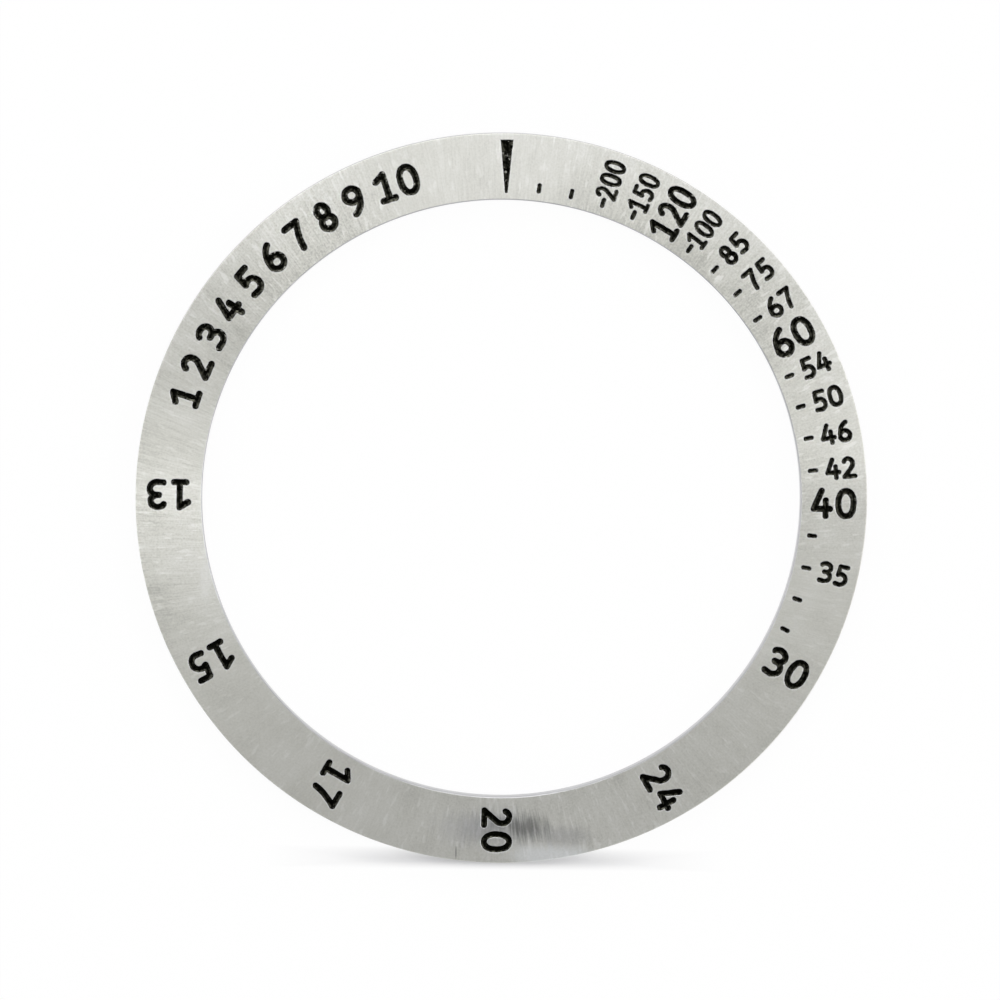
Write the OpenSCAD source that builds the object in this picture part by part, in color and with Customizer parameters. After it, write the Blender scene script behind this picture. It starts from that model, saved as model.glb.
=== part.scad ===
// Bezel insert of a watch: a flat steel ring that drops into the bezel round the crystal.
// Its face is engraved with a rate scale, and each engraved figure and mark is filled with black enamel.
// The ring lies face up on z = 0, its axis is Z, and the index of the scale points along +Y.

/* [Ring] */
// Diameter of the opening for the crystal
opening_d = 31.1; // [27:0.1:36]
// Thickness of the ring
ring_t = 1.2; // [0.8:0.05:2]
// Broken edge round the rim of the face
rim_break = 0.04; // [0.03:0.01:0.2]
// Broken edge round the opening, on the face
opening_break = 0.06; // [0.03:0.01:0.2]
// Broken edges round the back
back_break = 0.1; // [0.04:0.01:0.2]

/* [Tracks of the face, from the opening outwards] */
// Bare steel between the opening and the second marks
inner_margin = 0.43; // [0.3:0.01:0.8]
// Radial length of a second mark
mark_l = 0.55; // [0.3:0.01:0.8]
// Radial length of the track for the small numbers
number_track = 2.01; // [1.75:0.01:2.6]
// Bare steel between the small numbers and the rim
rim_margin = 0.46; // [0.3:0.01:1]
// How far a small three-figure number reaches in beyond the end of its mark
mark_overlap = 0.06; // [0:0.01:0.08]
// Bare steel at both ends of the large three-figure number
long_margin = 0.295; // [0.22:0.005:0.5]
// Bare steel at both ends of the index
index_margin = 0.34; // [0.22:0.01:0.6]

/* [Figures] */
// Height of the small numbers
small_h = 1.18; // [1:0.01:1.4]
// Height of the large numbers
large_h = 1.64; // [1.2:0.01:1.85]
// Height of the numbers in the counting row
count_h = 1.69; // [1.45:0.01:2.1]
// Width of a figure as a share of its height
figure_ratio = 0.69; // [0.6:0.01:0.76]
// Gap between the figures of a small number
small_gap = 0.03; // [0.01:0.01:0.08]
// Gap between the figures of a large two-figure number
large_gap = 0.12; // [0.05:0.01:0.25]
// Gap between the figures of the large three-figure number
long_gap = 0.03; // [0.01:0.01:0.08]
// Gap between the figures of the counting row's last number
count_pair_gap = 0.1; // [0.05:0.01:0.2]
// Gap between the numbers of the counting row
count_gap = 0.56; // [0.3:0.01:0.75]

/* [Engraving] */
// Depth of the engraving
engraving_d = 0.18; // [0.1:0.01:0.3]
// How far the enamel lies below the face
enamel_drop = 0.03; // [0.01:0.005:0.06]
// Line width of the small two-figure numbers
small_line = 0.25; // [0.14:0.005:0.28]
// Line width of the large two-figure numbers
large_line = 0.335; // [0.2:0.005:0.38]
// Line width of a three-figure number as a share of a two-figure one's
narrow_share = 0.91; // [0.8:0.01:1]
// Line width of the counting row
count_line = 0.355; // [0.2:0.005:0.4]
// Line width of the second marks
mark_line = 0.235; // [0.1:0.005:0.27]
// Width of the index at its outer end
index_w = 0.66; // [0.4:0.01:0.9]
// Width of the index at its point
index_point_w = 0.16; // [0.08:0.01:0.3]

/* [Scale] */
// Middle of the counting row on the dial, in seconds
count_middle = 52.5; // [51.5:0.1:54]

/* [Hidden] */
// Angle of one second on the dial
SECOND = 360 / 60;
// Each number of the scale is the rate a minute of what took that many seconds to happen ten times.
// The small numbers, as [second, number], which have a mark of their own
SMALL_NUMBERS = [
    [3, 200], [4, 150], [6, 100], [7, 85], [8, 75], [9, 67], [11, 54], [12, 50], [13, 46], [14, 42], [17, 35]
];
// The large numbers, which run across the whole face and have no mark
LARGE_NUMBERS = [
    [5, 120], [10, 60], [15, 40], [20, 30], [25, 24], [30, 20], [35, 17], [40, 15], [45, 13]
];
// Seconds that carry a mark
MARK_SECONDS = [1, 2, 3, 4, 6, 7, 8, 9, 11, 12, 13, 14, 16, 17, 18, 19];
// Last number of the counting row, which starts at 1
COUNT = 10;

bore_r = opening_d / 2;
face_w = inner_margin + mark_l + number_track + rim_margin;
rim_r = bore_r + face_w;
middle_r = bore_r + face_w / 2;
mark_r = bore_r + inner_margin;
number_out_r = rim_r - rim_margin;
number_in_r = mark_r + mark_l - mark_overlap;
floor_z = ring_t - engraving_d;
// Steps of the true curves, and of the short straight stretches that round off the figures
$fn = 180;
arc_step = 18;
cap_step = 36;
// How far a cut runs past the face
over = 0.2;

function two_places(n) = str(n < 10 ? "0" : "", n);
function mark_name(s) = str("mark_fill_", two_places(s));
function number_name(n) = str("number_fill_", n);
function count_name(n) = str("count_fill_", two_places(n));

// The figures of a whole number, first to last
function figures(n) = n < 10 ? [n] : concat(figures(floor(n / 10)), [n % 10]);

// Points along part of an ellipse with centre c and half axes r
function arc(c, r, from, to) =
    let (n = ceil(abs(to - from) / arc_step))
    [for (i = [0:n]) let (a = from + (to - from) * i / n) c + [r.x * cos(a), r.y * sin(a)]];

// Points along a bend from a to b that heads for the point via
function bend(a, via, b) =
    let (n = 6)
    [for (i = [0:n]) let (t = i / n) (1 - t) * (1 - t) * a + 2 * t * (1 - t) * via + t * t * b];

// A closed oval: with bulge above 1 its sides are fuller than an ellipse's
function oval(c, r, bulge) =
    let (n = 360 / arc_step)
    [for (i = [0:n - 1]) let (a = 360 * i / n, k = pow(pow(abs(cos(a)), 2 * bulge) + pow(abs(sin(a)), 2 * bulge),
        -1 / (2 * bulge))) c + k * [r.x * cos(a), r.y * sin(a)]];

// Angle at which a line from point p touches an ellipse, on its right-hand side seen from p
function touch(c, r, p) =
    let (q = [(p.x - c.x) / r.x, (p.y - c.y) / r.y])
    atan2(q.y, q.x) + acos(1 / norm(q));

// The figures are drawn as the centre lines of a round cutter, in a box that reaches
// half a unit to each side of the origin. These are the lines with two ends.
function open_lines(f) =
    f == 1 ? [[[-0.47, 0.29], [0.08, 0.5]], [[0.08, 0.5], [0.08, -0.5]], [[-0.34, -0.5], [0.46, -0.5]]] :
    f == 2 ?
        let (c = [-0.06, 0.21], r = [0.42, 0.29], foot = [-0.48, -0.5])
        [concat(arc(c, r, 152, touch(c, r, foot)), [foot]), [foot, [0.48, -0.5]]] :
    f == 3 ? [
        concat(arc([-0.06, 0.26], [0.46, 0.24], 148, -90), [[-0.14, 0.02]]),
        concat(arc([-0.06, -0.23], [0.52, 0.27], 70, -90), [[-0.43, -0.48]])
    ] :
    f == 4 ? [[[-0.02, 0.5], [-0.53, -0.22]], [[-0.53, -0.22], [0.53, -0.22]], [[0.25, 0.12], [0.25, -0.5]]] :
    f == 5 ? [
        [[-0.26, 0.5], [0.44, 0.5]],
        [[-0.26, 0.5], [-0.34, 0.02]],
        concat([[-0.34, 0.02]], arc([-0.03, -0.205], [0.46, 0.295], 100, -90), [[-0.44, -0.47]])
    ] :
    f == 6 ? [bend([0.26, 0.5], [-0.44, 0.3], [-0.44, -0.3])] :
    f == 7 ? [[[-0.47, 0.5], [0.46, 0.5]], bend([0.46, 0.5], [-0.07, -0.06], [-0.14, -0.5])] :
    f == 9 ? [for (l = open_lines(6)) -l] :
    [];

// The lines that run round to where they began
function closed_lines(f) =
    f == 0 ? [oval([0, 0], [0.5, 0.5], 1.12)] :
    f == 6 ? [oval([0.02, -0.23], [0.455, 0.27], 1)] :
    f == 8 ? [oval([0, 0.24], [0.34, 0.26], 1), oval([0, -0.245], [0.42, 0.255], 1)] :
    f == 9 ? [for (l = closed_lines(6)) -l] :
    [];

function turned(v) = [-v.y, v.x];
function unit(v) = v / norm(v);
function heading(a, b) = atan2(b.y - a.y, b.x - a.x);

// Half a round end with radius r about p, from the right of a line that heads along angle h to its left
function cap(p, r, h) =
    [for (a = [h - 90 + cap_step:cap_step:h + 90 - cap_step / 2]) p + r * [cos(a), sin(a)]];

// Outline of a cutter with radius r that runs along an open line
function open_outline(l, r) =
    let (
        last = len(l) - 1,
        side = [for (i = [0:last]) r * turned(unit(l[min(i + 1, last)] - l[max(i - 1, 0)]))]
    )
    concat(
        [for (i = [0:last]) l[i] - side[i]],
        cap(l[last], r, heading(l[last - 1], l[last])),
        [for (i = [last:-1:0]) l[i] + side[i]],
        cap(l[0], r, heading(l[1], l[0]))
    );

// A closed line moved sideways by r, outwards where r is above 0
function closed_outline(l, r) =
    let (n = len(l))
    [for (i = [0:n - 1]) l[i] - r * turned(unit(l[(i + 1) % n] - l[(i + n - 1) % n]))];

module figure(f, w, h, line) {
    box = [w - line, h - line];
    for (l = open_lines(f)) {
        polygon(open_outline([for (p = l) [p.x * box.x, p.y * box.y]], line / 2));
    }
    for (l = closed_lines(f)) {
        middle = [for (p = l) [p.x * box.x, p.y * box.y]];
        difference() {
            polygon(closed_outline(middle, line / 2));
            polygon(closed_outline(middle, -line / 2));
        }
    }
}

// A row of figures centred on the origin
module number(n, w, h, gap, line) {
    row = figures(n);
    for (i = [0:len(row) - 1]) {
        translate([(i - (len(row) - 1) / 2) * (w + gap), 0]) figure(row[i], w, h, line);
    }
}

// Places what is drawn along +X so that it runs outwards at a given second
module at_second(s) {
    rotate(90 - s * SECOND) children();
}

// Three figures stand closer than two, and are cut with a finer tool
function line_share(count) = count > 2 ? narrow_share : 1;

// A small number ends at the outside of its track, and three figures fill the track
module small_number(s, n) {
    count = len(figures(n));
    track_w = (number_out_r - number_in_r + small_gap) / count - small_gap;
    w = min(small_h * figure_ratio, track_w);
    length = count * (w + small_gap) - small_gap;
    at_second(s) translate([number_out_r - length / 2, 0])
        number(n, w, small_h, small_gap, small_line * line_share(count));
}

// A large number is centred on the face, and three figures reach from margin to margin
module large_number(s, n) {
    count = len(figures(n));
    gap = count > 2 ? long_gap : large_gap;
    face_share = (face_w - 2 * long_margin + gap) / count - gap;
    w = min(large_h * figure_ratio, face_share);
    at_second(s) translate([middle_r, 0]) number(n, w, large_h, gap, large_line * line_share(count));
}

module mark(s) {
    ends = [[mark_r + mark_line / 2, 0], [mark_r + mark_l - mark_line / 2, 0]];
    at_second(s) polygon(open_outline(ends, mark_line / 2));
}

// The index is a slender pointer with its point at the opening
module index() {
    inner = bore_r + index_margin;
    outer = rim_r - index_margin;
    point_r = index_point_w / 2;
    at_second(0) polygon(concat(
        [[outer, -index_w / 2], [outer, index_w / 2], [inner + point_r, point_r]],
        cap([inner + point_r, 0], point_r, 180)
    ));
}

count_w = count_h * figure_ratio;
function count_number_w(n) = len(figures(n)) * (count_w + count_pair_gap) - count_pair_gap;
// Distance along the row from its start to the middle of number n
function count_place(n) = n == 1 ? count_number_w(1) / 2 :
    count_place(n - 1) + (count_number_w(n - 1) + count_number_w(n)) / 2 + count_gap;
count_row = count_place(COUNT) + count_number_w(COUNT) / 2;

// The counting row stands upright along the arc, with the tops of its numbers outwards
module count_number(n) {
    along = (count_place(n) - count_row / 2) / middle_r * 180 / PI;
    rotate(-count_middle * SECOND - along) translate([0, middle_r])
        number(n, count_w, count_h, count_pair_gap, count_line);
}

// Everything that is engraved into the face
module engraving() {
    index();
    for (s = MARK_SECONDS) mark(s);
    for (e = SMALL_NUMBERS) small_number(e[0], e[1]);
    for (e = LARGE_NUMBERS) large_number(e[0], e[1]);
    for (n = [1:COUNT]) count_number(n);
}

// The ring is turned from steel plate, its edges broken, and its face engraved
module bezel_ring() {
    color("silver") difference() {
        rotate_extrude() polygon([
            [bore_r + back_break, 0], [rim_r - back_break, 0], [rim_r, back_break],
            [rim_r, ring_t - rim_break], [rim_r - rim_break, ring_t],
            [bore_r + opening_break, ring_t], [bore_r, ring_t - opening_break], [bore_r, back_break]
        ]);
        translate([0, 0, floor_z]) linear_extrude(engraving_d + over) engraving();
    }
}

// Enamel lies on the floor of its recess and fills it from wall to wall, to just below the face
module enamel() {
    color("black") translate([0, 0, floor_z]) linear_extrude(engraving_d - enamel_drop) children();
}

module index_fill() {
    enamel() index();
}

module mark_fill(s) {
    enamel() mark(s);
}

module small_number_fill(s, n) {
    enamel() small_number(s, n);
}

module large_number_fill(s, n) {
    enamel() large_number(s, n);
}

module count_fill(n) {
    enamel() count_number(n);
}

bezel_ring();
index_fill();
for (s = MARK_SECONDS) {
    mark_fill(s);
}
for (e = SMALL_NUMBERS) {
    small_number_fill(e[0], e[1]);
}
for (e = LARGE_NUMBERS) {
    large_number_fill(e[0], e[1]);
}
for (n = [1:COUNT]) {
    count_fill(n);
}
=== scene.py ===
import math

import bpy
import numpy as np
from mathutils import Matrix, Vector
from mathutils.geometry import delaunay_2d_cdt
from mathutils.noise import noise, noise_vector, seed_set


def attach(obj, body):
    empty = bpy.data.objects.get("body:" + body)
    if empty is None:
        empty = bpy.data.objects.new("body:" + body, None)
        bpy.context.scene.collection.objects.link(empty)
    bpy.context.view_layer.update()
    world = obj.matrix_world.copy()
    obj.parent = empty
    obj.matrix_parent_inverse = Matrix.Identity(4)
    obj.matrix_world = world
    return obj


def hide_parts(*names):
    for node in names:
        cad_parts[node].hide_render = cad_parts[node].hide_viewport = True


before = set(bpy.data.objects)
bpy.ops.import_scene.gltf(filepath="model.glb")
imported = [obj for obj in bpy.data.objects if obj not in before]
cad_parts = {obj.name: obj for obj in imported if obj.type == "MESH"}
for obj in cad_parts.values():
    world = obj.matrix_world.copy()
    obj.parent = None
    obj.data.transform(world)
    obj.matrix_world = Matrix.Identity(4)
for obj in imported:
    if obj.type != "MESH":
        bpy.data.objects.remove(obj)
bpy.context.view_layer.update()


# THE STEEL RING
# One flat ring of stainless steel, cut from plate. Its rim, opening and back are turned and its edges broken,
# the scale is cut into its face, and the face is then brushed along its radii.
# All sizes are in millimetres.
MM = 0.001
bore_r, rim_r, ring_t = 15.55, 19.0, 1.2
face_w, middle_r = rim_r - bore_r, (rim_r + bore_r) / 2
rim_break, opening_break, back_break = 0.04, 0.06, 0.1
engraving_d = 0.18
floor_z = ring_t - engraving_d

# A pantograph drives a small round cutter along the middle of each line of a figure, so every recess is a set
# of lines of one width with round ends. The steps say how finely the lines are drawn, in millimetres along a
# line and in degrees along an arc or a round end. The waver and the rasp are how far a worn cutter strays,
# over a longer and a shorter way. Where a cut meets the face, its mouth is a little wider.
LINE_STEP = 0.055
ARC_STEP = 10
CAP_STEP = 18
BEND_STEPS = 12
MOUTH_W, MOUTH_D = 0.02, 0.008
WAVER, WAVER_STEP = 0.013, 0.26
RASP, RASP_STEP = 0.009, 0.11
WAVER_SEED = 1


def ellipse(centre, radii, turns):
    turns = np.radians(turns)
    return np.array(centre) + np.column_stack((radii[0] * np.cos(turns), radii[1] * np.sin(turns)))


def arc(centre, radii, start, end):
    return ellipse(centre, radii, np.linspace(start, end, math.ceil(abs(end - start) / ARC_STEP) + 1))


def bend(start, via, end):
    """A smooth bend from start to end that is drawn towards a third point."""
    start, via, end = np.array(start), np.array(via), np.array(end)
    t = np.linspace(0, 1, BEND_STEPS + 1)[:, None]
    return (1 - t) ** 2 * start + 2 * t * (1 - t) * via + t ** 2 * end


def oval(centre, radii, bulge):
    """An ellipse, or with a bulge of more than 1 an oval that is a little squarer."""
    turns = np.arange(0, 360, ARC_STEP)
    c, s = abs(np.cos(np.radians(turns))), abs(np.sin(np.radians(turns)))
    reach = (c ** (2 * bulge) + s ** (2 * bulge)) ** (-1 / (2 * bulge))
    return np.array(centre) + reach[:, None] * ellipse((0, 0), radii, turns)


def path(*parts):
    """One line through all its parts, which are single points or the points of a curve."""
    return np.vstack([np.array(part, float).reshape(-1, 2) for part in parts])


# The lines of each figure, in a box that reaches half a unit to each side of the origin
OPEN_LINES = {
    0: [],
    1: [path((-0.47, 0.29), (0.08, 0.5)), path((0.08, 0.5), (0.08, -0.5)), path((-0.34, -0.5), (0.46, -0.5))],
    2: [path(arc((-0.06, 0.21), (0.42, 0.29), 152, -44.4), (-0.48, -0.5)), path((-0.48, -0.5), (0.48, -0.5))],
    3: [
        path(arc((-0.06, 0.26), (0.46, 0.24), 148, -90), (-0.14, 0.02)),
        path(arc((-0.06, -0.23), (0.52, 0.27), 70, -90), (-0.43, -0.48)),
    ],
    4: [
        path((-0.02, 0.5), (-0.53, -0.22)),
        path((-0.53, -0.22), (0.53, -0.22)),
        path((0.25, 0.12), (0.25, -0.5)),
    ],
    5: [
        path((-0.26, 0.5), (0.44, 0.5)),
        path((-0.26, 0.5), (-0.34, 0.02)),
        path((-0.34, 0.02), arc((-0.03, -0.205), (0.46, 0.295), 100, -90), (-0.44, -0.47)),
    ],
    6: [bend((0.26, 0.5), (-0.44, 0.3), (-0.44, -0.3))],
    7: [path((-0.47, 0.5), (0.46, 0.5)), bend((0.46, 0.5), (-0.07, -0.06), (-0.14, -0.5))],
    8: [],
    9: [-bend((0.26, 0.5), (-0.44, 0.3), (-0.44, -0.3))],
}
CLOSED_LINES = {
    0: [oval((0, 0), (0.5, 0.5), 1.12)],
    6: [oval((0.02, -0.23), (0.455, 0.27), 1)],
    8: [oval((0, 0.24), (0.34, 0.26), 1), oval((0, -0.245), (0.42, 0.255), 1)],
    9: [-oval((0.02, -0.23), (0.455, 0.27), 1)],
}


def close_set(line, closed):
    """The line with points added until none is further than LINE_STEP from the next."""
    ends = np.vstack((line, line[:1])) if closed else line
    points = [ends[0]]
    for a, b in zip(ends[:-1], ends[1:]):
        count = max(1, math.ceil(np.linalg.norm(b - a) / LINE_STEP))
        points += [a + (b - a) * i / count for i in range(1, count + 1)]
    return np.array(points[:-1] if closed else points)


def left_of(line, closed):
    """Unit vectors that point to the left of the line at each of its points."""
    steps = np.roll(line, -1, 0) - line if closed else np.diff(line, axis=0)
    steps /= np.linalg.norm(steps, axis=1)[:, None]
    if closed:
        heading = steps + np.roll(steps, 1, 0)
    else:
        heading = np.vstack((steps[:1], steps[:-1] + steps[1:], steps[-1:]))
    heading /= np.linalg.norm(heading, axis=1)[:, None]
    return np.column_stack((-heading[:, 1], heading[:, 0]))


def cap(end, radius, heading):
    turns = np.arange(heading - 90 + CAP_STEP, heading + 90 - CAP_STEP / 2, CAP_STEP)
    return ellipse(end, (radius, radius), turns)


def cut_open(line, radius):
    """Outline of a cutter that runs along an open line, counter-clockwise."""
    side = radius * left_of(line, False)
    out, back = line[-1] - line[-2], line[0] - line[1]
    return np.vstack((
        line - side, cap(line[-1], radius, math.degrees(math.atan2(out[1], out[0]))),
        (line + side)[::-1], cap(line[0], radius, math.degrees(math.atan2(back[1], back[0]))),
    ))


def figure_cuts(figure, width, height, line_width):
    """The cuts of one figure centred on the origin, each as (line, whether it is closed, radius)."""
    box = np.array((width - line_width, height - line_width))
    return [(close_set(line * box, False), False, line_width / 2) for line in OPEN_LINES[figure]] + \
        [(close_set(line * box, True), True, line_width / 2) for line in CLOSED_LINES.get(figure, [])]


def placed(cuts, turn, move=(0, 0)):
    """The cuts moved, then turned about the ring's axis by an angle in degrees."""
    c, s = math.cos(math.radians(turn)), math.sin(math.radians(turn))
    return [((line + move) @ np.array(((c, s), (-s, c))), closed, r) for line, closed, r in cuts]


def number_cuts(number, width, height, gap, line_width):
    """The cuts of a whole number centred on the origin, its figures side by side."""
    figures = [int(f) for f in str(number)]
    cuts = []
    for i, figure in enumerate(figures):
        along = (i - (len(figures) - 1) / 2) * (width + gap)
        cuts += placed(figure_cuts(figure, width, height, line_width), 0, (along, 0))
    return cuts


# The scale runs clockwise from the top, by this many degrees to a second
SECOND_TURN = 6


def at_second(second, cuts, move):
    return placed(cuts, 90 - SECOND_TURN * second, move)


# How wide a figure is for its height, and how wide the lines are where a finer tool cut them
figure_ratio, narrow_share = 0.69, 0.91


def line_share(count):
    """Three figures stand closer than two, and are cut with a finer tool."""
    return narrow_share if count > 2 else 1


recesses = {}

# The second marks: short strokes along the radii, just outside the opening
mark_r, mark_l, mark_line = 15.98, 0.55, 0.235
MARK_SECONDS = (1, 2, 3, 4, 6, 7, 8, 9, 11, 12, 13, 14, 16, 17, 18, 19)
mark_middle = path((mark_r + mark_line / 2, 0), (mark_r + mark_l - mark_line / 2, 0))
for second in MARK_SECONDS:
    mark = (close_set(mark_middle, False), False, mark_line / 2)
    recesses[f"mark_fill_{second:02d}"] = at_second(second, [mark], (0, 0))

# The small numbers end on one circle near the rim, and three figures are squeezed to clear the marks
SMALL_NUMBERS = {3: 200, 4: 150, 6: 100, 7: 85, 8: 75, 9: 67, 11: 54, 12: 50, 13: 46, 14: 42, 17: 35}
number_out_r, number_in_r = 18.54, 16.47
small_h, small_line, small_gap = 1.18, 0.25, 0.03
for second, number in SMALL_NUMBERS.items():
    count = len(str(number))
    width = min(small_h * figure_ratio, (number_out_r - number_in_r + small_gap) / count - small_gap)
    length = count * (width + small_gap) - small_gap
    cuts = number_cuts(number, width, small_h, small_gap, small_line * line_share(count))
    recesses[f"number_fill_{number}"] = at_second(second, cuts, (number_out_r - length / 2, 0))

# The large numbers fill the face from edge to edge and take the place of a mark
LARGE_NUMBERS = {5: 120, 10: 60, 15: 40, 20: 30, 25: 24, 30: 20, 35: 17, 40: 15, 45: 13}
large_h, large_line, large_gap = 1.64, 0.335, 0.12
long_margin, long_gap = 0.295, 0.03
for second, number in LARGE_NUMBERS.items():
    count = len(str(number))
    gap = long_gap if count > 2 else large_gap
    width = min(large_h * figure_ratio, (face_w - 2 * long_margin + gap) / count - gap)
    cuts = number_cuts(number, width, large_h, gap, large_line * line_share(count))
    recesses[f"number_fill_{number}"] = at_second(second, cuts, (middle_r, 0))

# The counting row stands upright along the middle of the face, to the left of the index
COUNT = range(1, 11)
count_h, count_line, count_pair_gap, count_gap, count_middle = 1.69, 0.355, 0.1, 0.56, 52.5
count_w = count_h * figure_ratio
count_widths = [len(str(n)) * (count_w + count_pair_gap) - count_pair_gap for n in COUNT]
count_row = sum(count_widths) + (len(COUNT) - 1) * count_gap
for n, width in zip(COUNT, count_widths):
    along = sum(count_widths[:n - 1]) + (n - 1) * count_gap + width / 2 - count_row / 2
    cuts = number_cuts(n, count_w, count_h, count_pair_gap, count_line)
    turn = -SECOND_TURN * count_middle - math.degrees(along / middle_r)
    recesses[f"count_fill_{n:02d}"] = placed(cuts, turn, (0, middle_r))

# The index is a slender pointer, its round point at the opening and its flat end at the rim
index_margin, index_w, index_point_w = 0.34, 0.66, 0.16
index_in, index_out = bore_r + index_margin, rim_r - index_margin
index_point = index_point_w / 2


def index_outline(grow):
    """The outline of the pointer, grown by a margin."""
    point = (0, index_in + index_point)
    slope = (index_w / 2 - index_point) / (index_out - point[1])
    wide, narrow = index_w / 2 + grow * (1 - slope), index_point + grow
    corners = path(
        (wide, index_out + grow), (-wide, index_out + grow), (-narrow, point[1]),
        ellipse(point, (narrow, narrow), np.arange(180 + CAP_STEP, 360, CAP_STEP)), (narrow, point[1]))
    return close_set(corners, True)


# Without a seed, noise_vector would start from the clock and the edges would differ each time
seed_set(WAVER_SEED)


def wavered(points):
    """The points moved a hair to and fro, as a worn cutter and a hand-rubbed fill leave their edges."""
    return [Vector(p) + WAVER * noise_vector(Vector((*p, 0)) / WAVER_STEP).to_2d()
            + RASP * noise_vector(Vector((*p, 5)) / RASP_STEP).to_2d() for p in points]


# Every outline goes into one flat triangulation of the whole face: the two circles that bound the face,
# each cut, the slightly wider mouth of each cut, and lines inside it that give the enamel its hollow.
# Only triangles inside an outline are made, and points closer than SNAP become one.
CIRCLE_STEPS = 540
INSIDE_ONLY, SNAP = 1, 1e-6
# The lines inside, as shares of half a line's width, and as distances in from the edge of the index
INNER_LINES = (0.0, 0.5, 0.8)
INDEX_INNER_LINES = (0.02, 0.045)
flat_points, flat_lines, flat_faces, face_means = [], [], [], []


def add_outline(points, meaning=None, closed=True):
    """Adds an outline with what it stands for, or a line that only guides the triangles."""
    first = len(flat_points)
    flat_points.extend(points)
    order = list(range(first, len(flat_points)))
    if meaning:
        flat_faces.append(order)
        face_means.append(meaning)
    else:
        flat_lines.extend(zip(order, order[1:] + order[:1] if closed else order[1:]))
    return order


turns = np.arange(CIRCLE_STEPS) * 360 / CIRCLE_STEPS
outer_circle, inner_circle = (
    add_outline([Vector(p) for p in ellipse((0, 0), (r, r), turns)], (meaning,))
    for meaning, r in (("outer", rim_r - rim_break), ("inner", bore_r + opening_break)))
for name, cuts in recesses.items():
    for number, (line, closed, radius) in enumerate(cuts):
        for kind, reach in (("cut", radius), ("mouth", radius + MOUTH_W)):
            if closed:
                side = reach * left_of(line, True)
                add_outline(wavered(line - side), (kind, name, number, 1))
                add_outline(wavered(line + side), (kind, name, number, -1))
            else:
                add_outline(wavered(cut_open(line, reach)), (kind, name, number, 1))
        side = radius * left_of(line, closed)
        for share in INNER_LINES:
            for s in ((share, -share) if share else (0,)):
                add_outline(wavered(line + s * side), None, closed)
for kind, grow in (("cut", 0), ("mouth", MOUTH_W)):
    add_outline(wavered(index_outline(grow)), (kind, "index_fill", 0, 1))
for inset in INDEX_INNER_LINES:
    add_outline(wavered(index_outline(-inset)))

flat_points, _, triangles, from_points, _, from_faces = delaunay_2d_cdt(
    flat_points, flat_lines, flat_faces, INSIDE_ONLY, SNAP)
flat = np.array(flat_points)
place_of = {old: new for new, olds in enumerate(from_points) for old in olds}


def held_by(kind, meanings):
    """The recess whose cut, or mouth, holds a triangle."""
    layers = {}
    for m in meanings:
        if m[0] == kind:
            layers[m[1:3]] = layers.get(m[1:3], 0) + m[3]
    return next((recess for (recess, _), layer in layers.items() if layer > 0), None)


face_triangles = []
cut_triangles = {name: [] for name in [*recesses, "index_fill"]}
mouth_triangles = {name: [] for name in cut_triangles}
for triangle, sources in zip(triangles, from_faces):
    meanings = [face_means[i] for i in sources]
    if ("outer",) not in meanings or ("inner",) in meanings:
        continue
    cut, mouth = held_by("cut", meanings), held_by("mouth", meanings)
    if cut:
        cut_triangles[cut].append(triangle)
    elif mouth:
        mouth_triangles[mouth].append(triangle)
    else:
        face_triangles.append(triangle)


def border(tris):
    """The edges that only one of the triangles has, in its own direction."""
    edges = {(a, b) for t in tris for a, b in zip(t, t[1:] + t[:1])}
    return [(a, b) for a, b in edges if (b, a) not in edges]


def distance_to(edges, points):
    """How far each point lies from the nearest edge."""
    a = flat[[e[0] for e in edges]]
    b = flat[[e[1] for e in edges]]
    d = b - a
    t = np.clip(((points[:, None] - a) * d).sum(2) / (d * d).sum(1), 0, 1)
    return np.linalg.norm(points[:, None] - a - t[..., None] * d, axis=2).min(1)


borders = {name: border(tris) for name, tris in cut_triangles.items()}

# Faces that meet at more than this many degrees keep a sharp edge between them
SHARP_ANGLE = 40


def new_mesh(name, points, faces, groups, materials, smooth):
    """A piece from points in millimetres.

    groups gives the number of each face's material, and smooth the numbers of those that are drawn smooth.
    """
    mesh = bpy.data.meshes.new(name)
    mesh.from_pydata([Vector(p) * MM for p in points], [], faces)
    for material in materials:
        mesh.materials.append(material)
    mesh.polygons.foreach_set("material_index", groups)
    mesh.set_sharp_from_angle(angle=math.radians(SHARP_ANGLE))
    mesh.polygons.foreach_set("use_smooth", [g in smooth for g in groups])
    piece = bpy.data.objects.new(name, mesh)
    bpy.context.scene.collection.objects.link(piece)
    return piece


# The kinds of surface on the ring, and how much its broken edges are crowned, where 0 is a plain bevel
FACE, BREAK, TURNED, CUT, BACK = range(5)
CROWN, CROWN_STEPS = 0.45, 4


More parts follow.
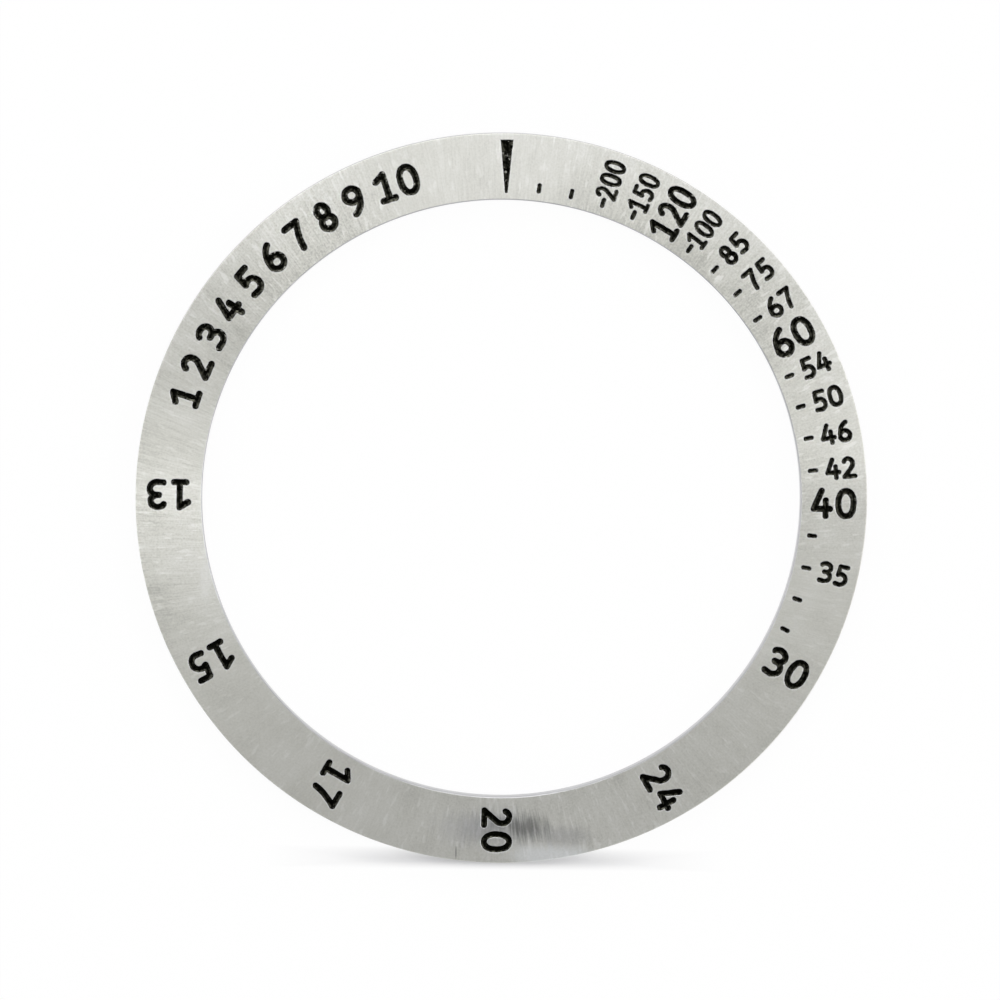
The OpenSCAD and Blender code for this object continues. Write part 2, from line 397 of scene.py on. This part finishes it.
def steel_ring():
    points = [(x, y, ring_t) for x, y in flat]
    faces = [tuple(t) for t in face_triangles]
    groups = [FACE] * len(faces)
    for name, edges in borders.items():
        # The mouth slopes from the face down to where the wall of the cut begins
        nodes = sorted({i for t in mouth_triangles[name] for i in t} | {i for e in edges for i in e})
        away = distance_to(edges, flat[nodes])
        for i, d in zip(nodes, away):
            points[i] = (*flat[i], ring_t - MOUTH_D * (1 - min(d, MOUTH_W) / MOUTH_W))
        faces += [tuple(t) for t in mouth_triangles[name]]
        groups += [CUT] * len(mouth_triangles[name])
        low = {i: len(points) + k for k, i in enumerate(sorted({i for t in cut_triangles[name] for i in t}))}
        points += [(*flat[i], floor_z) for i in low]
        faces += [(a, b, low[b], low[a]) for a, b in edges]
        faces += [tuple(low[i] for i in t) for t in cut_triangles[name]]
        groups += [CUT] * (len(edges) + len(cut_triangles[name]))

    # The turned profile runs from the face over the rim, across the back and up through the opening
    def broken(corner, start, end):
        """Points of a crowned bevel from start to end that bulges a little towards the sharp corner."""
        corner, start, end = (np.array(p, float) for p in (corner, start, end))
        t = np.linspace(0, 1, CROWN_STEPS + 1)[:, None]
        line = start + (end - start) * t
        curve = (1 - t) ** 2 * start + 2 * t * (1 - t) * corner + t ** 2 * end
        return [tuple(p) for p in (1 - CROWN) * line + CROWN * curve]

    profile = broken((rim_r, ring_t), (rim_r - rim_break, ring_t), (rim_r, ring_t - rim_break))
    profile += broken((rim_r, 0), (rim_r, back_break), (rim_r - back_break, 0))
    profile += broken((bore_r, 0), (bore_r + back_break, 0), (bore_r, back_break))
    profile += broken((bore_r, ring_t), (bore_r, ring_t - opening_break), (bore_r + opening_break, ring_t))
    back_at = [i for i, (r, z) in enumerate(profile) if z == 0]
    break_at = [i for i, (r, z) in enumerate(profile) if r > middle_r and z > ring_t - rim_break - SNAP]
    rows = [[place_of[i] for i in outer_circle]]
    for r, z in profile[1:-1]:
        rows.append(list(range(len(points), len(points) + CIRCLE_STEPS)))
        points += [(x, y, z) for x, y in ellipse((0, 0), (r, r), turns)]
    rows.append([place_of[i] for i in inner_circle])
    for k, (upper, lower) in enumerate(zip(rows, rows[1:])):
        group = BACK if k in back_at and k + 1 in back_at else TURNED
        group = BREAK if k in break_at and k + 1 in break_at else group
        for i in range(CIRCLE_STEPS):
            j = (i + 1) % CIRCLE_STEPS
            faces.append((upper[i], lower[i], lower[j], upper[j]))
            groups.append(group)

    brushed, turned = brushed_steel(), turned_steel()
    used = sorted({i for f in faces for i in f})
    order = {old: new for new, old in enumerate(used)}
    return new_mesh(
        "steel_ring", [points[i] for i in used], [tuple(order[i] for i in f) for f in faces], groups,
        [brushed, brushed, turned, turned, turned], smooth=(BREAK, TURNED, CUT))


def add(tree, kind, inputs=None, stops=(), **settings):
    """Adds a node with its settings. An input given as a socket is linked to it."""
    new = tree.nodes.new("ShaderNode" + kind)
    for i, (position, hex_colour) in enumerate(stops):
        ramp = new.color_ramp.elements
        stop = ramp[i] if i < 2 else ramp.new(position)
        stop.position, stop.color = position, linear(hex_colour)
    for name, value in settings.items():
        setattr(new, name, value)
    for key, value in (inputs or {}).items():
        if isinstance(value, bpy.types.NodeSocket):
            tree.links.new(value, new.inputs[key])
        else:
            new.inputs[key].default_value = value
    return new


def linear(hex_colour):
    """A colour written as sRGB hex, as the linear values that Blender works in."""
    parts = [int(hex_colour[i:i + 2], 16) / 255 for i in (1, 3, 5)]
    return (*[p / 12.92 if p <= 0.04045 else ((p + 0.055) / 1.055) ** 2.4 for p in parts], 1)


def new_material(name):
    material = bpy.data.materials.new(name)
    material.use_nodes = True
    material.node_tree.nodes.clear()
    return material, material.node_tree


def place_on(tree):
    """The place on the piece, in millimetres."""
    place = add(tree, "TexCoord").outputs["Object"]
    return add(tree, "VectorMath", {0: place, 1: (1 / MM,) * 3}, operation="MULTIPLY").outputs[0]


def polar(tree):
    """The place on the ring and its radius, both in millimetres, and the direction outwards."""
    place = place_on(tree)
    level = add(tree, "VectorMath", {0: place, 1: (1, 1, 0)}, operation="MULTIPLY").outputs[0]
    radius = add(tree, "VectorMath", {0: level}, operation="LENGTH").outputs["Value"]
    outwards = add(tree, "VectorMath", {0: level}, operation="NORMALIZE").outputs[0]
    return place, radius, outwards


def brushed_steel():
    """Stainless steel brushed along its radii: short straight scratches, some painted bright as painted
    glints, with painted sheen and shade round the ring.

    Widths are in millimetres. The real hairs are about 0.02 wide, too fine to show, and are drawn 1/12 wide.
    """
    material, tree = new_material("radially_brushed_stainless_steel")
    lean_w, mottle_w, cloud_w, hair_d = 3.455, 1 / 9, 2, 0.004
    lean_range, lean_sideways = 0.35, -0.13
    stroke_share, mottle_share, short_share, painted_glint_share, cloud_share = 0.45, 2.6, 0.55, 0.6, 0.44
    plain_tone, ragged_share = 0.285, 0.9
    place, radius, outwards = polar(tree)
    side = add(tree, "SeparateXYZ", {0: outwards}).outputs
    # turn goes from 0 to 1, clockwise round the ring from its lowest point
    turn = add(tree, "Math", {0: side["X"], 1: side["Y"]}, operation="ARCTAN2").outputs[0]
    turn = add(tree, "Math", {0: turn, 1: 1 / math.tau, 2: 0.5}, operation="MULTIPLY_ADD").outputs[0]

    # The strokes of the brush lean a few degrees to one side or the other of the true radius
    lean = add(tree, "TexNoise", {"Vector": outwards, "Scale": middle_r / lean_w, "Detail": 2.0}).outputs[0]
    lean = add(tree, "Math", {0: lean, 1: lean_range, 2: -lean_range / 2},
               operation="MULTIPLY_ADD").outputs[0]
    lean = add(tree, "Math", {0: side["X"], 1: lean_sideways, 2: lean}, operation="MULTIPLY_ADD").outputs[0]
    from_middle = add(tree, "Math", {0: radius, 1: middle_r}, operation="SUBTRACT").outputs[0]
    lean = add(tree, "Math", {0: lean, 1: from_middle}, operation="MULTIPLY").outputs[0]
    round_way = add(tree, "VectorMath", {0: (0, 0, 1), 1: outwards}, operation="CROSS_PRODUCT").outputs[0]
    sideways = add(tree, "VectorMath", {0: round_way, "Scale": lean}, operation="SCALE").outputs[0]
    around = add(tree, "VectorMath", {0: outwards, "Scale": middle_r}, operation="SCALE").outputs[0]
    around = add(tree, "VectorMath", {0: around, 1: sideways}, operation="ADD").outputs[0]

    # Each kind of mark: its width, its width as a share of its length, and how much fine detail it has
    marks = {}
    for name, width, slimness, detail, roughness in (
            ("hair", 1 / 12, 0.07, 2.0, 0.6), ("stroke", 1 / 3.2, 0.14, 2.0, 0.5),
            ("painted_glint", 1 / 4.5, 0.3, 1.0, 0.5), ("patch", 1 / 0.9, 0.45, 2.0, 0.5)):
        along = add(tree, "Math", {0: radius, 1: slimness}, operation="MULTIPLY").outputs[0]
        along = add(tree, "CombineXYZ", {"Z": along}).outputs[0]
        grain = add(tree, "VectorMath", {0: around, 1: along}, operation="ADD").outputs[0]
        marks[name] = add(tree, "TexNoise", {
            "Vector": grain, "Scale": 1 / width, "Detail": detail, "Roughness": roughness}).outputs[0]
    hair, stroke, painted_glint, patch = marks["hair"], marks["stroke"], marks["painted_glint"], marks["patch"]
    mottle = add(tree, "TexNoise", {
        "Vector": place, "Scale": 1 / mottle_w, "Detail": 2.0, "Roughness": 0.6}).outputs[0]

    # How deep the hairs bit (red) and how much the grit jumped between them (green), round the ring, and
    # painted
    # sheen and shade (blue): which edge of the face is painted duller. The stops were set from ratios of
    # photo to render in 36 sectors. Half of all shares is taken off the marks, because each noise lies around
    # 0.5.
    depth_and_painted_edge_sheen = add(tree, "ValToRGB", {"Fac": turn}, stops=(
        (0.0, "#A8C6A4"), (0.06, "#8EA49C"), (0.16, "#89A48D"), (0.2, "#EDBC5C"), (0.24, "#FFD840"),
        (0.28, "#DCA088"), (0.35, "#E4E1B5"), (0.41, "#FFFFD8"), (0.45, "#A8A09C"), (0.52, "#BCA0BC"),
        (0.56, "#D7E1F0"), (0.66, "#D7F6D5"), (0.7, "#BCCBAA"), (0.75, "#D0E0B5"), (0.79, "#A8909C"),
        (0.85, "#A2AE72"), (0.95, "#B0C4A4"), (1.0, "#A8C6A4"))).outputs[0]
    depth_and_painted_edge_sheen = add(tree, "SeparateColor", {0: depth_and_painted_edge_sheen}).outputs
    long_marks = add(tree, "Math", {0: stroke, 1: stroke_share, 2: hair},
                     operation="MULTIPLY_ADD").outputs[0]
    long_marks = add(tree, "Math", {0: long_marks, 1: (1 + stroke_share) / 2},
                     operation="SUBTRACT").outputs[0]
    long_marks = add(tree, "Math", {0: long_marks, 1: depth_and_painted_edge_sheen["Red"]}, operation="MULTIPLY").outputs[0]
    short_marks = add(tree, "Math", {0: mottle, 1: mottle_share, 2: patch},
                      operation="MULTIPLY_ADD").outputs[0]
    short_marks = add(tree, "Math", {0: short_marks, 1: (1 + mottle_share) / 2},
                      operation="SUBTRACT").outputs[0]
    short_marks = add(tree, "Math", {0: short_marks, 1: depth_and_painted_edge_sheen["Green"]}, operation="MULTIPLY").outputs[0]
    texture = add(tree, "Math", {0: short_marks, 1: short_share, 2: long_marks},
                  operation="MULTIPLY_ADD").outputs[0]
    # Painted glints: some strokes are painted bright, as if they lay at an angle that sends the light
    # straight up
    painted_glint = add(tree, "MapRange", {"Value": painted_glint, "From Min": 0.6, "From Max": 0.72}).outputs[0]
    painted_glint = add(tree, "Math", {0: painted_glint, 1: depth_and_painted_edge_sheen["Green"]}, operation="MULTIPLY").outputs[0]
    tone = add(tree, "Math", {0: painted_glint, 1: painted_glint_share, 2: texture}, operation="MULTIPLY_ADD").outputs[0]
    # Painted sheen and shade: round the ring, one edge of the face is painted duller than the other
    painted_edge_sheen = add(tree, "MapRange", {"Value": depth_and_painted_edge_sheen["Blue"], "To Min": -0.1, "To Max": 0.2}).outputs[0]
    tone = add(tree, "Math", {0: painted_edge_sheen, 1: from_middle, 2: tone}, operation="MULTIPLY_ADD").outputs[0]
    # Handling has left broad faint clouds over it all
    cloud = add(tree, "TexNoise", {"Vector": place, "Scale": 1 / cloud_w, "Detail": 1.0}).outputs[0]
    tone = add(tree, "Math", {0: cloud, 1: cloud_share, 2: tone}, operation="MULTIPLY_ADD").outputs[0]
    tone = add(tree, "Math", {0: tone, 1: plain_tone}, operation="ADD").outputs[0]
    colour = add(tree, "ValToRGB", {"Fac": tone}, stops=(
        (0.0, "#CBCBC4"), (0.45, "#E9E9E1"), (1.0, "#FFFFFA"))).outputs[0]

    # Painted sheen and shade: each stretch round the ring is painted a little brighter or darker, darkest at
    # the lowest point and brightest on the left. These stops were fitted to the photo's brightness in the
    # same sectors.
    painted_sheen = add(tree, "ValToRGB", {"Fac": turn}, stops=(
        (0.0, "#DADADB"), (0.17, "#E9E9E9"), (0.25, "#FFFFFF"), (0.305, "#E3E3E3"), (0.34, "#E7E7E7"),
        (0.39, "#FCFCFC"), (0.5, "#F6F6F8"), (0.58, "#EBEBEB"), (0.66, "#E9E9E9"), (0.73, "#F4F4F4"),
        (0.75, "#E4E4E4"), (0.82, "#F1F1F1"), (1.0, "#DADADB"))).outputs[0]
    colour = add(tree, "Mix", {0: 1.0, 6: colour, 7: painted_sheen}, data_type="RGBA",
                 blend_type="MULTIPLY").outputs[2]

    # Painted reflection, painted highlights and one real scratch: a dark patch beside the 20 is a painted
    # reflection of the dark camera above, with a painted highlight near the rim below it, a stretch of the
    # opening's edge is painted bright as a painted highlight, and one deep scratch is drawn dark. Each has a
    # middle, half its sizes, the share of them that is fully marked, how ragged its edge is, a colour and a
    # strength.
    ragged = add(tree, "Math", {0: stroke, 1: ragged_share, 2: hair}, operation="MULTIPLY_ADD").outputs[0]
    ragged = add(tree, "Math", {0: ragged, 1: (1 + ragged_share) / 2}, operation="SUBTRACT").outputs[0]
    for centre, size, inner, rag, hex_colour, strength in (
            # The first six are painted reflection and shade, the next two painted highlights, the last a real
            # scratch
            ((-0.4, -17.2), (3.3, 1.25), 0.3, 0.5, "#4A4D70", 0.19),
            ((-0.55, -17.1), (1.6, 1.0), 0.2, 0.6, "#3A3D58", 0.17),
            ((3.36, -17.56), (2.1, 0.7), 0.2, 0.6, "#3A3D60", 0.2),
            ((1.65, -17.05), (1.3, 0.9), 0.2, 1.3, "#3A3C3C", 0.42),
            ((1.4, -17.1), (0.8, 0.6), 0.2, 1.0, "#2A2C2C", 0.3),
            ((0.15, -16.95), (0.5, 0.45), 0.2, 1.4, "#2A2C2C", 0.35),
            ((2.9, -18.6), (2.8, 0.75), 0.3, 0.6, "#F6FAFF", 0.4),
            ((-15.3, -4.2), (0.42, 1.7), 0.3, 1.6, "#FFFFFF", 0.25),
            ((-2.1, -18.48), (0.05, 0.4), 0.5, 0.0, "#303030", 0.5)):
        away = add(tree, "VectorMath", {0: place, 1: (*centre, 0)}, operation="SUBTRACT").outputs[0]
        away = add(tree, "VectorMath", {0: away, 1: (1 / size[0], 1 / size[1], 0)},
                   operation="MULTIPLY").outputs[0]
        away = add(tree, "VectorMath", {0: away}, operation="LENGTH").outputs["Value"]
        away = add(tree, "Math", {0: ragged, 1: rag, 2: away}, operation="MULTIPLY_ADD").outputs[0]
        painted_light_and_scratch = add(tree, "MapRange", {"Value": away, "From Min": 1.1, "From Max": inner, "To Max": strength},
                   interpolation_type="SMOOTHSTEP").outputs[0]
        colour = add(tree, "Mix", {0: painted_light_and_scratch, 6: colour, 7: linear(hex_colour)}, data_type="RGBA").outputs[2]

    bump = add(tree, "Bump", {"Height": texture, "Distance": hair_d * MM, "Strength": 1.0})
    # The tangent runs round the ring, because light spreads across the scratches
    tangent = add(tree, "Tangent", direction_type="RADIAL", axis="Z")
    shader = add(tree, "BsdfPrincipled", {
        "Base Color": colour, "Metallic": 1.0, "Roughness": 0.39, "Anisotropic": 0.6,
        "Tangent": tangent.outputs[0], "Normal": bump.outputs[0]})
    add(tree, "OutputMaterial", {"Surface": shader.outputs[0]})
    return material


def turned_steel():
    """The same steel as the lathe leaves it: smooth, with fine lines round the ring, 1/18 mm wide."""
    material, tree = new_material("turned_stainless_steel")
    line_w, line_d, wrap_r = 1 / 18, 0.002, 0.6
    place, radius, outwards = polar(tree)
    # The pattern is wrapped round a small circle, so that it changes slowly along a line
    around = add(tree, "VectorMath", {0: outwards, "Scale": wrap_r}, operation="SCALE").outputs[0]
    across = add(tree, "VectorMath", {0: place, 1: (0, 0, 1)}, operation="MULTIPLY").outputs[0]
    across = add(tree, "VectorMath", {0: across, 1: add(tree, "CombineXYZ", {"Z": radius}).outputs[0]},
                 operation="ADD").outputs[0]
    grain = add(tree, "VectorMath", {0: around, 1: across}, operation="ADD").outputs[0]
    lines = add(tree, "TexNoise", {"Vector": grain, "Scale": 1 / line_w, "Detail": 2.0}).outputs[0]
    colour = add(tree, "ValToRGB", {"Fac": lines}, stops=((0.3, "#B2B2B4"), (0.7, "#C8C8CA")))
    bump = add(tree, "Bump", {"Height": lines, "Distance": line_d * MM, "Strength": 1.0})
    shader = add(tree, "BsdfPrincipled", {
        "Base Color": colour.outputs[0], "Metallic": 1.0, "Roughness": 0.3, "Normal": bump.outputs[0]})
    add(tree, "OutputMaterial", {"Surface": shader.outputs[0]})
    return material


ring = steel_ring()
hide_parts("bezel_ring")
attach(ring, "root")


# THE ENAMEL OF THE INDEX
# Black enamel, wiped into the recess as a thick paint and stoved. As it dries it shrinks, so it climbs the
# walls a little and lies hollow along the middle.

# How far it lies below the face at the walls, how much deeper along the middle, how much the recesses differ
# and over what way, and how wide a line would be that is hollow as the index is at its edges
ENAMEL_EDGE = 0.012
ENAMEL_HOLLOW = 0.02
ENAMEL_LEVELS, LEVEL_WAY = 0.008, 0.6
index_hollow_w = 0.3


def black_enamel():
    """Stoved black enamel: deep black with a soft gloss, and slightly lumpy where it dried unevenly.

    Widths are in millimetres, and dust finer than 1/16 would not show.
    """
    material, tree = new_material("stoved_black_enamel")
    lump_w, lump_d, dust_w, gloss_w, enamel_glint_w = 1 / 6, 0.016, 1 / 16, 1 / 5, 1 / 5.5
    place = place_on(tree)
    lumps = add(tree, "TexNoise", {"Vector": place, "Scale": 1 / lump_w, "Detail": 2.0}).outputs[0]
    dust = add(tree, "TexNoise", {
        "Vector": place, "Scale": 1 / dust_w, "Detail": 2.0, "Roughness": 0.6}).outputs[0]
    colour = add(tree, "ValToRGB", {"Fac": dust}, stops=((0.35, "#020201"), (0.75, "#070705"))).outputs[0]
    rough = add(tree, "MapRange", {
        "Value": dust, "From Min": 0.3, "From Max": 0.7, "To Min": 0.05, "To Max": 0.16})
    gloss = add(tree, "TexNoise", {"Vector": place, "Scale": 1 / gloss_w, "Detail": 2.0}).outputs[0]
    gloss = add(tree, "MapRange", {"Value": gloss, "From Min": 0.35, "From Max": 0.66, "To Max": 0.78})
    bump = add(tree, "Bump", {"Height": lumps, "Distance": lump_d * MM, "Strength": 1.0})
    # Painted glints: pale specks painted along the walls, in the upper half only, as painted highlights of
    # the edges
    side = add(tree, "SeparateXYZ", {0: place}).outputs
    edge_z = ring_t - ENAMEL_EDGE
    thin = add(tree, "MapRange", {"Value": side["Z"], "From Min": edge_z - 0.8 * ENAMEL_HOLLOW,
                                  "From Max": edge_z - 0.45 * ENAMEL_HOLLOW}).outputs[0]
    enamel_glints_upper = add(tree, "MapRange", {"Value": side["Y"], "From Min": -2.0, "From Max": 6.0}).outputs[0]
    enamel_painted_glints = add(tree, "TexNoise", {"Vector": place, "Scale": 1 / enamel_glint_w, "Detail": 1.0}).outputs[0]
    enamel_painted_glints = add(tree, "MapRange", {"Value": enamel_painted_glints, "From Min": 0.62, "From Max": 0.78}).outputs[0]
    enamel_painted_glints = add(tree, "Math", {0: enamel_painted_glints, 1: thin}, operation="MULTIPLY").outputs[0]
    enamel_painted_glints = add(tree, "Math", {0: enamel_painted_glints, 1: enamel_glints_upper}, operation="MULTIPLY").outputs[0]
    colour = add(tree, "Mix", {0: enamel_painted_glints, 6: colour, 7: linear("#B4B4AC")}, data_type="RGBA").outputs[2]
    shader = add(tree, "BsdfPrincipled", {
        "Base Color": colour, "Roughness": rough.outputs[0], "Specular IOR Level": gloss.outputs[0],
        "Specular Tint": linear("#FFFFE6"), "Normal": bump.outputs[0]})
    add(tree, "OutputMaterial", {"Surface": shader.outputs[0]})
    return material


enamel = black_enamel()


def enamel_fill(name, line_width):
    """The enamel of one recess: a hollow top, walls against the steel, and a flat underside on its floor."""
    edges, tris = borders[name], cut_triangles[name]
    nodes = sorted({i for t in tris for i in t})
    inside = distance_to(edges, flat[nodes])
    reach = line_width / 2
    # Each recess was wiped to a slightly different level
    level = ENAMEL_LEVELS * noise(Vector((*flat[nodes[0]], 0)) / LEVEL_WAY)
    top = {i: k for k, i in enumerate(nodes)}
    points = []
    for i, d in zip(nodes, inside):
        hollow = ENAMEL_HOLLOW * (1 - (1 - min(d, reach) / reach) ** 2)
        points.append((*flat[i], ring_t - ENAMEL_EDGE - hollow + level * min(d, reach) / reach))
    low = {i: len(points) + k for k, i in enumerate(nodes)}
    points += [(*flat[i], floor_z) for i in nodes]
    faces = [tuple(top[i] for i in t) for t in tris]
    faces += [(top[b], top[a], low[a], low[b]) for a, b in edges]
    faces += [tuple(low[i] for i in reversed(t)) for t in tris]
    piece = new_mesh("enamel_" + name, points, faces, [0] * len(faces), [enamel], smooth=(0,))
    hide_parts(name)
    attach(piece, "root")


enamel_fill("index_fill", index_hollow_w)


# THE ENAMEL OF THE SECOND MARKS
# The same enamel in the short strokes beside the numbers and between them, one for each second that the
# scale counts. Each stroke is so short that its hollow runs from end to end.
for second in MARK_SECONDS:
    enamel_fill(f"mark_fill_{second:02d}", mark_line)


# THE ENAMEL OF THE SMALL NUMBERS
# The same enamel in the small figures. The figures of a number lie in recesses of their own, cut with one
# tool and filled in one wipe, and those of three figures hold the finest lines of the scale.
for number in SMALL_NUMBERS.values():
    enamel_fill(f"number_fill_{number}", small_line * line_share(len(str(number))))


# THE ENAMEL OF THE LARGE NUMBERS
# The same enamel in the large figures, one number every five seconds. Their lines are wide enough to show
# how it dried hollow, with a bright line along each wall.
for number in LARGE_NUMBERS.values():
    enamel_fill(f"number_fill_{number}", large_line * line_share(len(str(number))))


# THE ENAMEL OF THE COUNTING ROW
# The same enamel in the row of plain numbers that counts from 1 to 10 up to the index. These are the widest
# lines of all.
for n in COUNT:
    enamel_fill(f"count_fill_{n:02d}", count_line)


# THE STUDIO
# A white table, five square softboxes in the ceiling from the left round the back to the right, a window at
# the back and one at each side, and pale walls under a dark ceiling. Places and sizes are in metres, but the
# drop from the ring to the table is in millimetres. The powers in the ceiling were fitted to the photo.
TABLE_HALF, TABLE_DROP, TABLE_LIT = 0.6, 0.02, 0.96
CEILING_Z, CEILING_BOX = 0.6, 0.2
WINDOW_Z, WINDOW_BOX = 0.45, 0.3


def studio_floor():
    """The table: a board under matt white paint, which the camera and the steel see lit up to white."""
    mesh = bpy.data.meshes.new("floor")
    corners = [(x * TABLE_HALF, y * TABLE_HALF, 0) for x, y in ((-1, -1), (1, -1), (1, 1), (-1, 1))]
    mesh.from_pydata(corners, [], [(0, 1, 2, 3)])
    material, tree = new_material("matt_white_painted_board")
    paths = add(tree, "LightPath").outputs
    seen = add(tree, "Math", {0: paths["Is Camera Ray"], 1: paths["Is Glossy Ray"]},
               operation="MAXIMUM").outputs[0]
    white = add(tree, "Emission", {"Color": linear("#FFFFFF"), "Strength": 1.0}).outputs[0]
    paint = add(tree, "BsdfDiffuse", {"Color": linear("#F4F4F4")}).outputs[0]
    # The table is lit up to white but for a strip in front of the ring, where its shadow shows. On each side
    # the strip fades out from the first of two distances from the middle, in millimetres, to the second.
    side = add(tree, "SeparateXYZ", {0: add(tree, "TexCoord").outputs["Object"]}).outputs
    share = 0.0
    for axis, start, end in (("Y", -18.94, -18.32), ("Y", -19.12, -19.5), ("X", 7, 12), ("X", -7, -12)):
        lit = add(tree, "MapRange", {"Value": side[axis], "From Min": start * MM, "From Max": end * MM,
                                     "To Max": TABLE_LIT}).outputs[0]
        share = add(tree, "Math", {0: lit, 1: share}, operation="MAXIMUM").outputs[0]
    share = add(tree, "Math", {0: seen, 1: share}, operation="MULTIPLY").outputs[0]
    mixed = add(tree, "MixShader", {0: share, 1: paint, 2: white}).outputs[0]
    add(tree, "OutputMaterial", {"Surface": mixed})
    mesh.materials.append(material)
    floor = bpy.data.objects.new("floor", mesh)
    floor.location.z = -TABLE_DROP * MM
    bpy.context.scene.collection.objects.link(floor)


studio_floor()


def softbox(name, place, aim, size, power):
    """A square lamp that shines from its place towards its aim, with its power in watts."""
    light = bpy.data.lights.new(name, "AREA")
    light.shape = "RECTANGLE"
    light.size = light.size_y = size
    light.energy = power
    lamp = bpy.data.objects.new(name, light)
    lamp.location = place
    lamp.rotation_euler = (Vector(aim) - Vector(place)).to_track_quat("-Z", "Y").to_euler()
    bpy.context.scene.collection.objects.link(lamp)


for name, place, power in (
        ("ceiling_left", (-0.2, 0.0), 0.21), ("ceiling_back_left", (-0.2, 0.2), 0.22),
        ("ceiling_back", (0.0, 0.2), 0.5), ("ceiling_back_right", (0.2, 0.2), 0.11),
        ("ceiling_right", (0.2, 0.0), 0.17)):
    softbox(name, (*place, CEILING_Z), (*place, 0), CEILING_BOX, power)
for name, place, power in (
        ("window_back", (0.0, 0.45), 0.55), ("window_right", (0.45, 0.0), 0.6),
        ("window_left", (-0.45, 0.0), 0.3)):
    softbox(name, (*place, WINDOW_Z), (0, 0, 0), WINDOW_BOX, power)

# The walls are a little duller in front, and the camera sees plain white in place of the room
world = bpy.data.worlds.new("pale_room")
world.use_nodes = True
tree = world.node_tree
tree.nodes.clear()
way = add(tree, "SeparateXYZ", {0: add(tree, "TexCoord").outputs["Generated"]}).outputs
back = add(tree, "Math", {0: way["X"], 1: 0.5, 2: way["Y"]}, operation="MULTIPLY_ADD").outputs[0]
back = add(tree, "MapRange", {"Value": back, "From Min": -0.9, "From Max": 0.2}).outputs[0]
walls = add(tree, "Mix", {0: back, 6: linear("#DADADC"), 7: linear("#FFFFFF")},
            data_type="RGBA").outputs[2]
height = add(tree, "MapRange", {"Value": way["Z"], "From Min": 0.7, "From Max": 0.9}).outputs[0]
colour = add(tree, "Mix", {0: height, 6: walls, 7: linear("#101012")}, data_type="RGBA").outputs[2]
room = add(tree, "Background", {"Color": colour, "Strength": 1.0}).outputs[0]
seen = add(tree, "LightPath").outputs["Is Camera Ray"]
white = add(tree, "Background", {"Color": linear("#FFFFFF"), "Strength": 1.0}).outputs[0]
mixed = add(tree, "MixShader", {0: seen, 1: room, 2: white}).outputs[0]
add(tree, "OutputWorld", {"Surface": mixed})
bpy.context.scene.world = world


# THE CAMERA
# It looks straight down on the face, and leans a few degrees towards the index. Distances are in metres,
# angles in degrees, the sensor and the lens in millimetres, and the shift is a share of the picture.
CAMERA_FAR, CAMERA_NEAR = 0.5, 0.01
CAMERA_LEAN = (-1.3, 4.3)
CAMERA_ROLL = 0.87
CAMERA_SHIFT = (-0.0016, -0.0009)
SENSOR_W, LENS = 36, 346.6
camera_data = bpy.data.cameras.new("camera")
camera_data.sensor_width = SENSOR_W
camera_data.lens = LENS
camera_data.shift_x, camera_data.shift_y = CAMERA_SHIFT
camera_data.clip_start = CAMERA_NEAR
camera = bpy.data.objects.new("camera", camera_data)
roll = math.radians(CAMERA_ROLL)
target = Vector((0, 0, ring_t * MM))
back = Vector((*[math.tan(math.radians(lean)) for lean in CAMERA_LEAN], 1)).normalized()
right = Vector((-math.sin(roll), math.cos(roll), 0)).cross(back).normalized()
camera.matrix_world = Matrix.Translation(target + CAMERA_FAR * back) @ Matrix(
    (right, back.cross(right), back)).transposed().to_4x4()
bpy.context.scene.collection.objects.link(camera)
bpy.context.scene.camera = camera

view = bpy.context.scene.view_settings
view.view_transform = "Standard"
